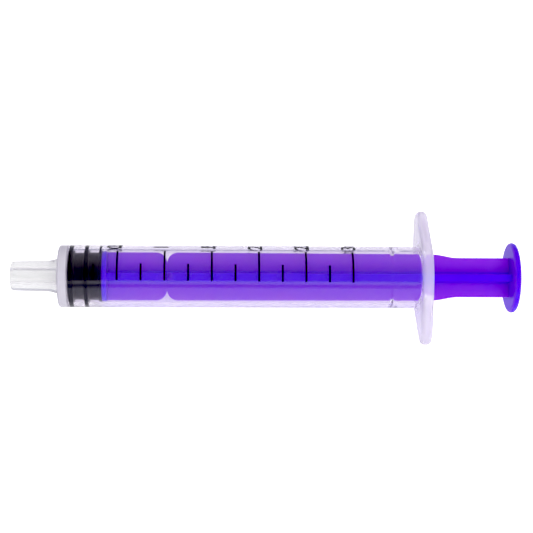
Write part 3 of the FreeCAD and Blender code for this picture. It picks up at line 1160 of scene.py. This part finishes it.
@dataclass(frozen=True)
class Lamp:
    """Soft box that faces the middle of the syringe.

    Its angles are degrees round from the front towards +X, and above level. Its distance and
    its width and height are in metres, and its power is in watts. A mirrored lamp shows its
    reflection in glossy surfaces.
    """

    name: str
    angles: tuple[float, float]
    away: float
    size: tuple[float, float]
    watts: float
    mirrored: bool = False
    aim_x: float = 43.0

    def place(self) -> None:
        """Adds the lamp to the scene."""
        data = bpy.data.lights.new(self.name, "AREA")
        data.shape = "RECTANGLE"
        data.size, data.size_y = self.size
        data.energy = self.watts
        lamp = bpy.data.objects.new(self.name, data)
        bpy.context.scene.collection.objects.link(lamp)
        round_, above = (math.radians(a) for a in self.angles)
        level = math.cos(above)
        towards = Vector((math.sin(round_) * level, -math.cos(round_) * level, math.sin(above)))
        lamp.location = Vector((self.aim_x * MM, 0, 0)) + towards * self.away
        lamp.rotation_euler = (-towards).to_track_quat("-Z", "Y").to_euler()
        lamp.visible_glossy = self.mirrored
        lamp.visible_transmission = self.mirrored


@dataclass
class Studio:
    """Pale floor, soft light and the camera."""

    floor_z: float = -7.4
    floor_size: float = 20.0
    floor_colour: str = "bcbcbc"
    floor_glow_colour: str = "f7f6fc"
    flange_foot: float = 0.9
    nose_down: float = 1.94
    distance: float = 235.0
    foot_before_flange: float = 37.95
    lift: float = 1.78
    yaw: float = 2.44
    roll: float = 0.24
    half_field: float = 11.01
    floor_glow: float = 0.62
    backdrop_glow: float = 1.3
    black_level: float = 0.025
    room_light: float = 0.65
    room_dark: float = 0.12
    room_low: str = "d8daf4"
    room_high: str = "fffafa"
    lamps: tuple[Lamp, ...] = (
        Lamp("front_box", (0, 20), 0.6, (0.7, 0.14), 0.28, mirrored=True),
        Lamp("top_fill", (0, 70), 0.8, (0.8, 0.8), 2.6),
        Lamp("front_fill", (15, 32), 0.8, (0.8, 0.8), 3.4),
    )

    def floor(self) -> None:
        """Level floor under the flange, tipped to meet the barrel's shoulder as well."""
        clear_selection()
        bpy.ops.mesh.primitive_plane_add(size=self.floor_size)
        floor = bpy.context.object
        floor.name = "floor"
        floor.rotation_euler = (0, math.radians(self.nose_down), 0)
        touch = Vector((far_end("barrel") - self.flange_foot, 0, self.floor_z)) * MM
        floor.location = touch
        material, tree = new_material("pale_floor")
        paper = add(tree, "ShaderNodeBsdfDiffuse", {"Color": linear(self.floor_colour)})
        seen = add(tree, "ShaderNodeLightPath").outputs["Is Camera Ray"]
        level = spread(tree, seen, (0.0, 1.0), (self.floor_glow, self.backdrop_glow))
        colour = linear(self.floor_glow_colour)
        glow = add(tree, "ShaderNodeEmission", {"Color": colour, "Strength": level})
        table = add(
            tree,
            "ShaderNodeAddShader",
            {0: paper.outputs["BSDF"], 1: glow.outputs["Emission"]},
        )
        surface_only(tree, table.outputs["Shader"])
        floor.data.materials.append(material)

    def lights(self) -> None:
        """A grey room that is dark behind the camera, a low front box and two wide fills."""
        world = bpy.data.worlds.new("studio")
        bpy.context.scene.world = world
        world.use_nodes = True
        tree = world.node_tree
        tree.nodes.clear()
        place = add(tree, "ShaderNodeTexCoord")
        camera_side = (0, -math.cos(FACING), math.sin(FACING))
        facing = add(
            tree,
            "ShaderNodeVectorMath",
            {0: place.outputs["Generated"], 1: camera_side},
            {"operation": "DOT_PRODUCT"},
        )
        levels = (self.room_light, self.room_dark)
        shade = spread(tree, facing.outputs["Value"], (0.35, 0.95), levels)
        apart = add(tree, "ShaderNodeSeparateXYZ", {"Vector": place.outputs["Generated"]})
        tint = blended(tree, apart.outputs["Z"], self.room_low, self.room_high)
        sky = add(tree, "ShaderNodeBackground", {"Color": tint, "Strength": shade})
        add(tree, "ShaderNodeOutputWorld", {"Surface": sky.outputs["Background"]})
        for lamp in self.lamps:
            lamp.place()

    def camera(self) -> None:
        """Camera above and in front, at the angle that the rod's ribs face."""
        towards = Vector((0, -math.cos(FACING), math.sin(FACING)))
        up = Vector((0, math.sin(FACING), math.cos(FACING)))
        right = Vector((1, 0, 0))
        data = bpy.data.cameras.new("camera")
        data.sensor_width = 36.0
        data.lens = 18.0 / math.tan(math.radians(self.half_field))
        data.clip_start = 0.01
        lens = bpy.data.objects.new("camera", data)
        bpy.context.scene.collection.objects.link(lens)
        yaw = math.radians(self.yaw)
        look = right * math.sin(yaw) - towards * math.cos(yaw)
        across = right * math.cos(yaw) + towards * math.sin(yaw)
        turn = Matrix((across, up, -look)).transposed()
        turn = turn @ Matrix.Rotation(math.radians(self.roll), 3, "Z")
        foot = far_end("barrel") - self.foot_before_flange
        place = (right * foot + towards * self.distance + up * self.lift) * MM
        lens.matrix_world = Matrix.Translation(place) @ turn.to_4x4()
        bpy.context.scene.camera = lens

    def build(self) -> None:
        """Sets the stage."""
        self.floor()
        self.lights()
        self.camera()
        scene = bpy.context.scene
        scene.view_settings.view_transform = "Standard"
        scene.view_settings.use_curve_mapping = True
        curves = scene.view_settings.curve_mapping
        curves.black_level = (self.black_level,) * 3
        curves.update()
        scene.cycles.max_bounces = 24
        scene.cycles.transmission_bounces = 24
        scene.cycles.transparent_max_bounces = 24
        scene.cycles.glossy_bounces = 8
        scene.cycles.diffuse_bounces = 4


def main() -> None:
    """Builds, dresses and reports every piece, and sets the stage."""
    logging.basicConfig(level=logging.INFO, format="%(name)s %(message)s")
    for part in (Barrel(), PrintedScale(), Seal(), PlungerRod()):
        part.build()
        part.dress()
    Studio().build()


if __name__ == "__main__":
    main()
